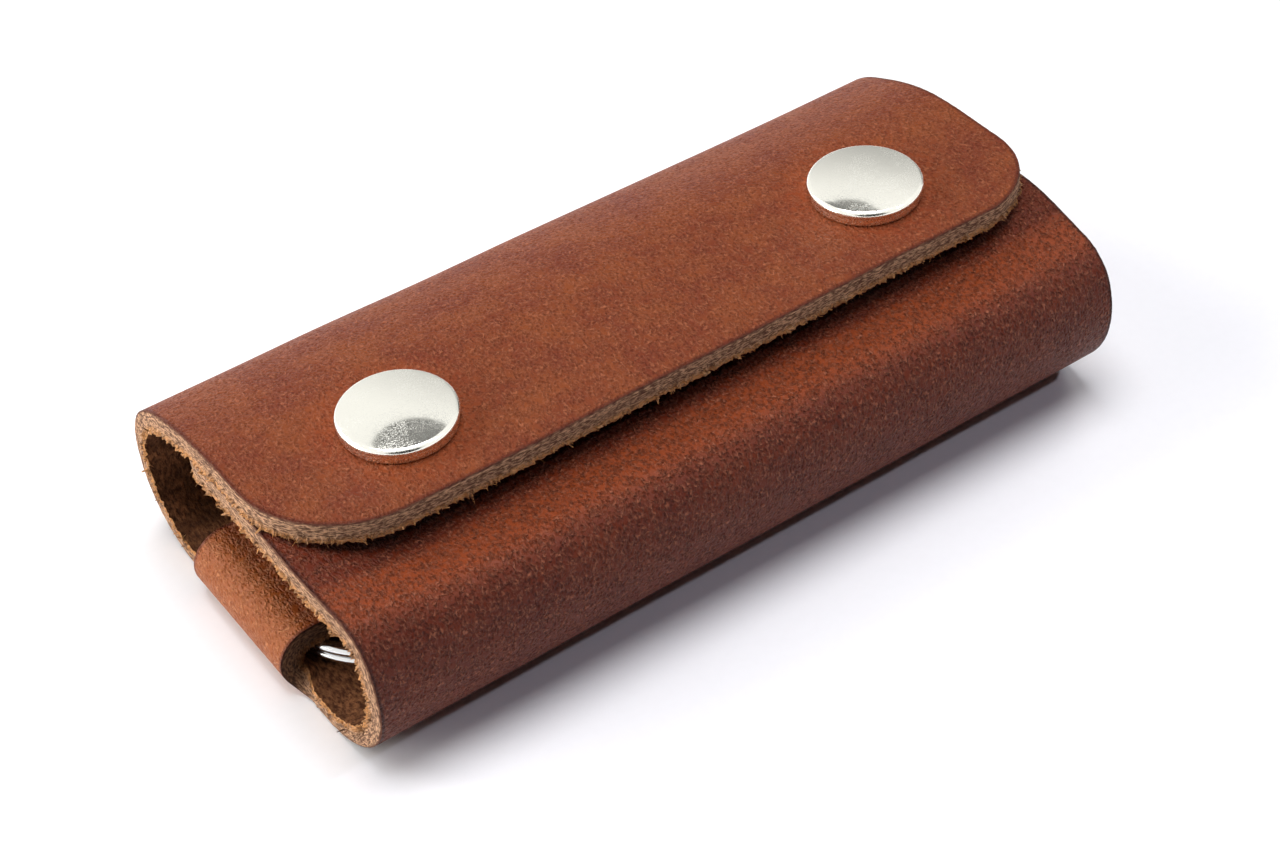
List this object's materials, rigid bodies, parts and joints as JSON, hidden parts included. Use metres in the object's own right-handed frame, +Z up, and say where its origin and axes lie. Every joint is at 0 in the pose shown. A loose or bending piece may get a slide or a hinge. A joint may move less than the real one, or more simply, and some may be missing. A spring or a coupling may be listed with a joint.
{
  "type": "key case",
  "caption": "Leather key case wrapped into an open-ended sleeve, with a snap-closed flap over an inner cover and a split key ring held in a riveted tongue.",
  "frame": {"origin": "on the flat bottom, under the middle of the sleeve", "axes": "+X along the sleeve away from the tongue, +Y to the back where the flap turns over, +Z up from the flat bottom"},
  "size_m": [0.0945, 0.0488, 0.0258],
  "materials": {
    "leather_body": "vegetable-tanned leather, red-brown fine-grained outside, dark brown flesh inside, raw edges",
    "leather_flap": "vegetable-tanned leather, light reddish-tan pebbled grain, raw edges",
    "leather_cover": "vegetable-tanned leather, darker red-brown grain, raw edges",
    "cap_nickel": "polished nickel plate",
    "snap_nickel": "satin nickel plate",
    "spring_steel": "drawn spring wire",
    "rivet_nickel": "polished nickel plate",
    "ring_steel": "bright nickel-plated spring steel"
  },
  "bodies": {
    "base": {"base_panel": "leather_body", "tongue_rivet_post": "rivet_nickel", "tongue_rivet_cap": "rivet_nickel"},
    "flap": {"flap_panel": "leather_flap", "snap_cap_left": "cap_nickel", "snap_cap_right": "cap_nickel", "snap_socket_left": "snap_nickel", "snap_socket_right": "snap_nickel", "snap_spring_left": "spring_steel", "snap_spring_right": "spring_steel"},
    "cover": {"front_cover": "leather_cover", "snap_stud_left": "snap_nickel", "snap_stud_right": "snap_nickel", "stud_post_left": "snap_nickel", "stud_post_right": "snap_nickel"},
    "ring": {"split_ring": "ring_steel"}
  },
  "joints": [
    {"name": "flap_hinge", "type": "hinge", "parent": "base", "child": "flap", "pos_m": [0, 0.02233, 0.01638], "axis": [-1, 0, 0], "range_deg": [0, 165]},
    {"name": "cover_hinge", "type": "hinge", "parent": "base", "child": "cover", "pos_m": [0, -0.02363, 0.01565], "axis": [1, 0, 0], "range_deg": [0, 90]},
    {"name": "ring_spin", "type": "hinge", "parent": "base", "child": "ring", "pos_m": [-0.0326, -0.0016, 0.00376], "axis": [0, 0, 1], "continuous": true}
  ],
  "couplings": [
    {"joint": "cover_hinge", "follows": "flap_hinge", "ratio": 0.5454}
  ]
}
